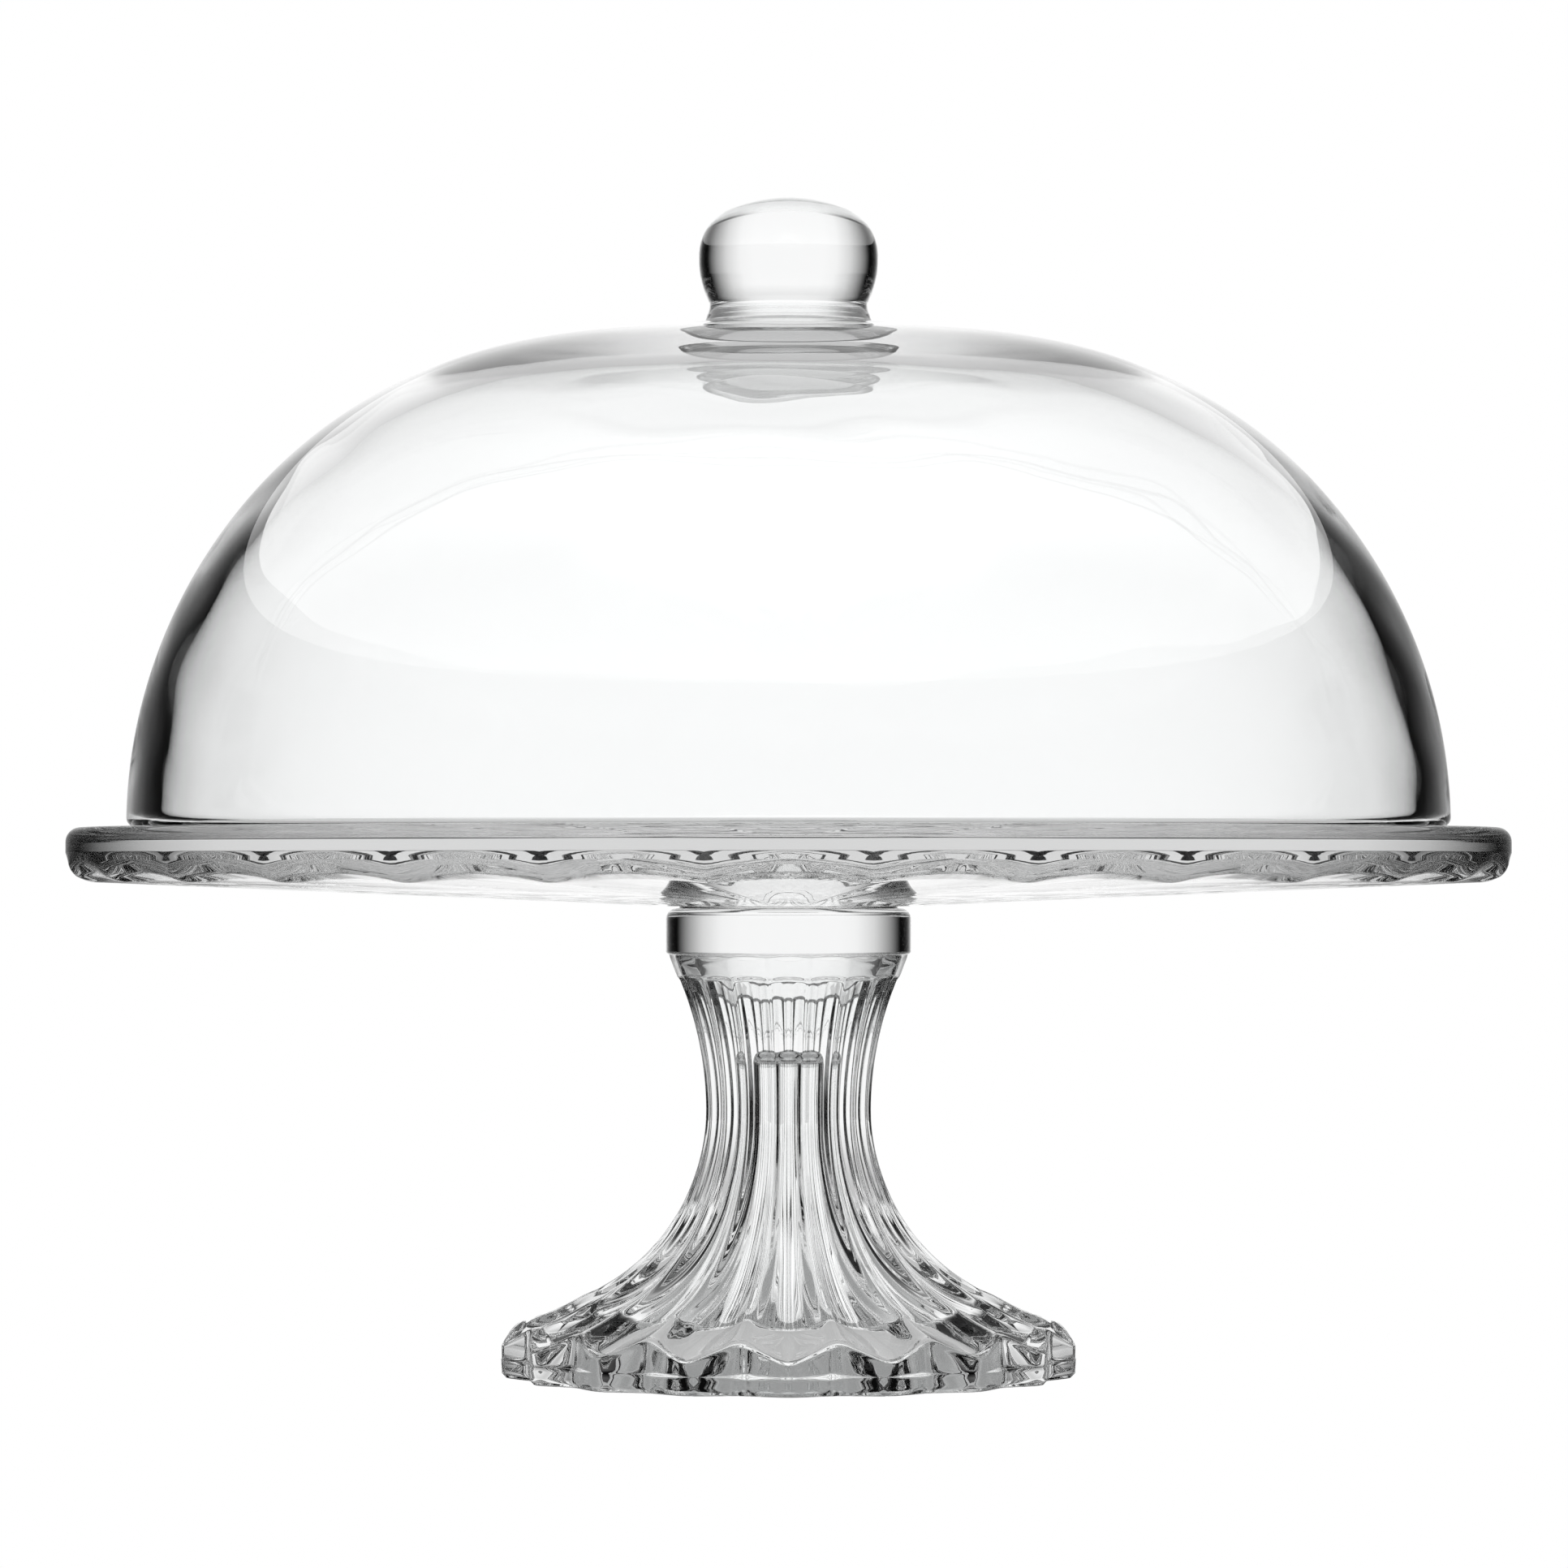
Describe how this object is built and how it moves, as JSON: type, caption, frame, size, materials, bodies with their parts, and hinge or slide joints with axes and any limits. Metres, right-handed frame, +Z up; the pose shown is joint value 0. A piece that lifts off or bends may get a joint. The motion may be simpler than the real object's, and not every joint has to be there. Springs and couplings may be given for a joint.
{
  "type": "cake stand with dome",
  "caption": "Clear pressed-glass cake stand: flat plate on a fluted pedestal with a star foot, and a lift-off glass dome with a round knob.",
  "frame": {"origin": "centre of the foot's resting plane, on the stand's axis", "axes": "+Z up along the stand's axis; +X runs through one point of the star foot"},
  "size_m": [0.32, 0.32, 0.262],
  "materials": {
    "clear_glass": "clear pressed glass, polished, with slight mould ripple",
    "clear_adhesive": "clear cured adhesive film"
  },
  "bodies": {
    "stand": {"cake_plate": "clear_glass", "pedestal": "clear_glass", "pedestal_bond": "clear_adhesive"},
    "dome": {"dome_shell": "clear_glass", "dome_knob": "clear_glass"}
  },
  "joints": [
    {"name": "dome_lift", "type": "slide", "parent": "stand", "child": "dome", "axis": [0, 0, 1], "range_m": [0, 0.2]}
  ]
}
